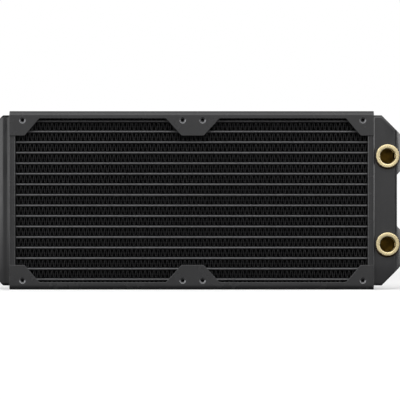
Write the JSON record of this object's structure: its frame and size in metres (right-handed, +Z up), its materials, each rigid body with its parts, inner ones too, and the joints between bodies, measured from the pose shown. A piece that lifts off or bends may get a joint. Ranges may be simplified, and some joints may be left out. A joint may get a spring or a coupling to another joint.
{
  "type": "liquid cooling radiator",
  "caption": "Slim flat liquid cooling radiator: folded fins between flat tubes, bent side panels with screw tabs, end tanks and front threaded ports.",
  "frame": {"origin": "middle of the base, under the lower side panel", "axes": "+X along the length towards the tank with the ports, +Y through the thickness away from the ports' side, +Z up"},
  "size_m": [0.318, 0.03, 0.1387],
  "materials": {
    "frame_paint": "fine satin black powder coat",
    "header_paint": "satin black",
    "tank_paint": "satin black",
    "tube_paint": "satin black, bright on the rounded edges",
    "fin_paint": "matt black",
    "brass": "bright turned",
    "sheet_brass": "bare sheet, inside"
  },
  "bodies": {
    "root": {"top_side_panel": "frame_paint", "bottom_side_panel": "frame_paint", "port_header_plate": "header_paint", "return_header_plate": "header_paint", "tube_01": "tube_paint", "tube_02": "tube_paint", "tube_03": "tube_paint", "tube_04": "tube_paint", "tube_05": "tube_paint", "tube_06": "tube_paint", "tube_07": "tube_paint", "tube_08": "tube_paint", "tube_09": "tube_paint", "tube_10": "tube_paint", "tube_11": "tube_paint", "tube_12": "tube_paint", "tube_13": "tube_paint", "tube_14": "tube_paint", "tube_15": "tube_paint", "tube_16": "tube_paint", "fin_strip_01": "fin_paint", "fin_strip_02": "fin_paint", "fin_strip_03": "fin_paint", "fin_strip_04": "fin_paint", "fin_strip_05": "fin_paint", "fin_strip_06": "fin_paint", "fin_strip_07": "fin_paint", "fin_strip_08": "fin_paint", "fin_strip_09": "fin_paint", "fin_strip_10": "fin_paint", "fin_strip_11": "fin_paint", "fin_strip_12": "fin_paint", "fin_strip_13": "fin_paint", "fin_strip_14": "fin_paint", "fin_strip_15": "fin_paint", "fin_strip_16": "fin_paint", "fin_strip_17": "fin_paint", "port_tank": "tank_paint", "return_tank": "tank_paint", "tank_divider": "sheet_brass", "port_collar_upper": "brass", "port_collar_lower": "brass"}
  },
  "joints": []
}
